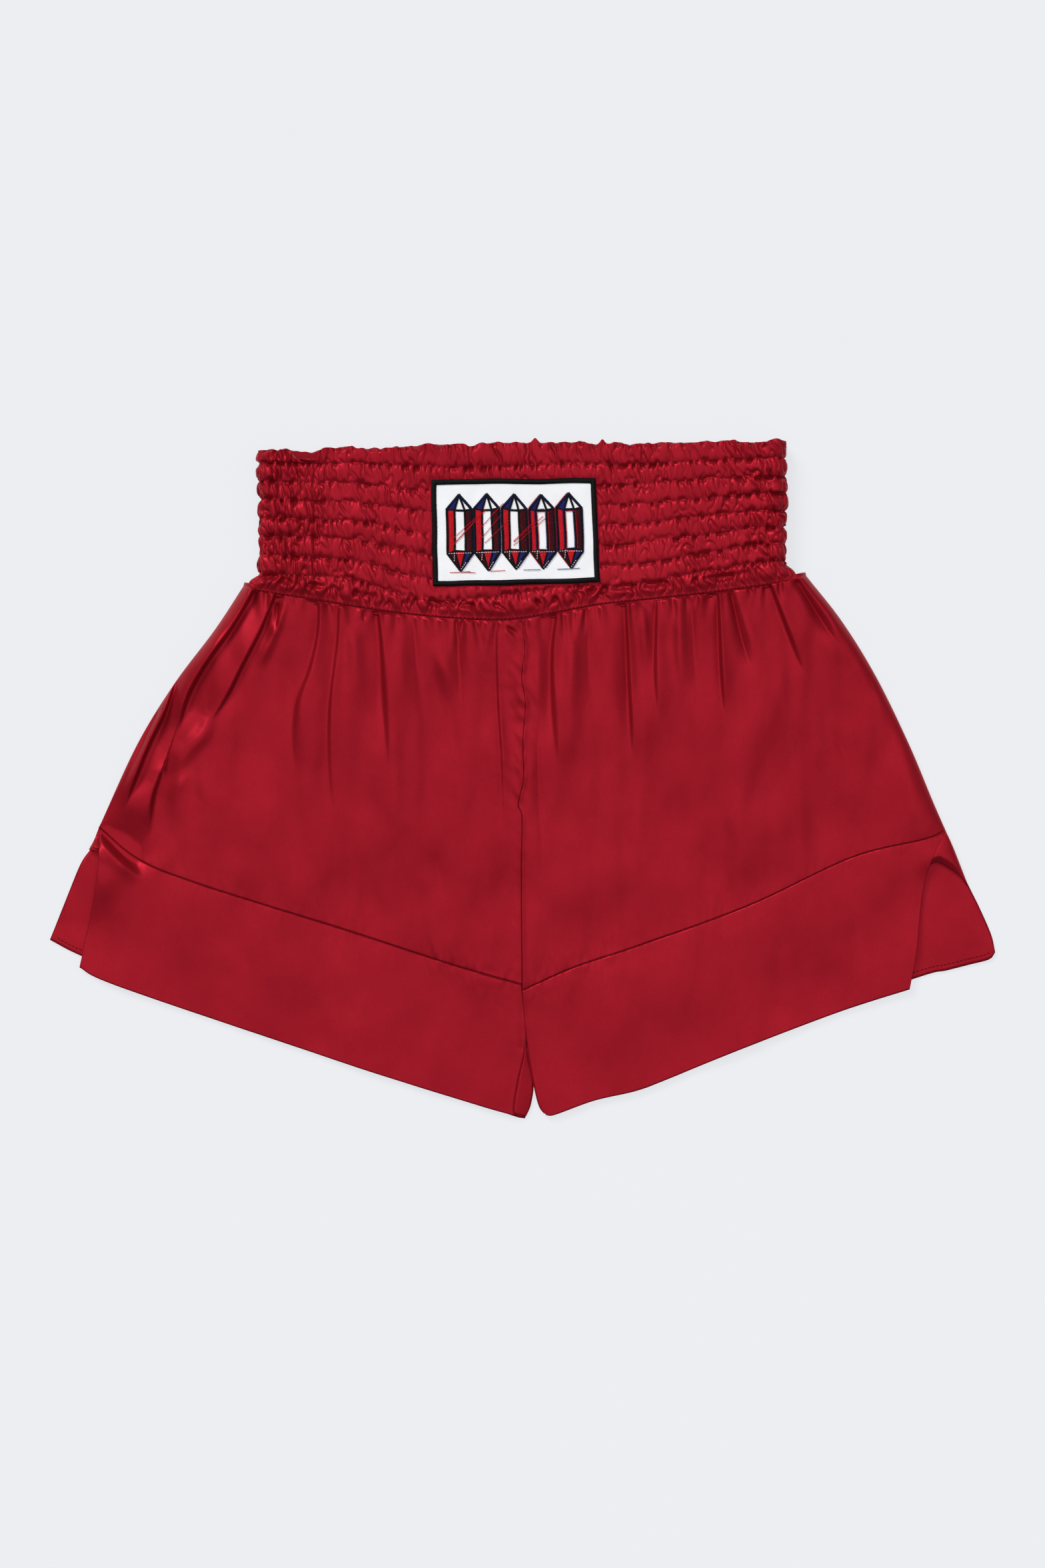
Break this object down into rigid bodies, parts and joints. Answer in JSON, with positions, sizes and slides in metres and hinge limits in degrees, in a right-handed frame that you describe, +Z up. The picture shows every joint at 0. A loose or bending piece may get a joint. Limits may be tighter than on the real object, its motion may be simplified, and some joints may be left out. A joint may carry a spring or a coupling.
{
  "type": "boxing shorts",
  "caption": "Wide satin boxing shorts with a gathered elastic waistband, flared legs with deep hem bands and side vents, and a sewn front badge, laid flat.",
  "frame": {"origin": "on the table under the middle of the outline of the shorts, which lie on their back", "axes": "+X to the right of the front as it is looked at, +Y from the legs to the waist, +Z up out of the front"},
  "size_m": [0.6072, 0.4349, 0.0185],
  "materials": {
    "satin_red": "satin",
    "lining_red": "satin",
    "elastic": "matte",
    "thread_red": "satin",
    "badge_white": "matte",
    "badge_thread_black": "satin",
    "badge_thread_red": "satin",
    "badge_thread_navy": "satin",
    "badge_thread_maroon": "satin"
  },
  "bodies": {
    "root": {"back_left_hem_band": "satin_red", "back_left_hem_topstitch": "thread_red", "back_left_panel": "satin_red", "back_right_hem_band": "satin_red", "back_right_hem_topstitch": "thread_red", "back_right_panel": "satin_red", "badge_border": "badge_thread_black", "badge_fixing_stitches": "badge_thread_black", "badge_ground": "badge_white", "centre_back_seam": "satin_red", "centre_front_seam": "satin_red", "channel_seams_back": "thread_red", "channel_seams_front": "thread_red", "elastic_1": "elastic", "elastic_2": "elastic", "elastic_3": "elastic", "elastic_4": "elastic", "elastic_5": "elastic", "elastic_6": "elastic", "elastic_7": "elastic", "elastic_8": "elastic", "embroidery_black_outlines": "badge_thread_black", "embroidery_maroon_facets": "badge_thread_maroon", "embroidery_navy_facets": "badge_thread_navy", "embroidery_red_facets": "badge_thread_red", "front_left_hem_band": "satin_red", "front_left_hem_topstitch": "thread_red", "front_left_panel": "satin_red", "front_right_hem_band": "satin_red", "front_right_hem_topstitch": "thread_red", "front_right_panel": "satin_red", "left_inseam": "satin_red", "left_side_seam": "satin_red", "right_inseam": "satin_red", "right_side_seam": "satin_red", "waist_seam_back": "satin_red", "waist_seam_front": "satin_red", "waistband_back_shell": "satin_red", "waistband_front_shell": "satin_red", "waistband_left_fold": "satin_red", "waistband_lining": "lining_red", "waistband_right_fold": "satin_red"}
  },
  "joints": []
}
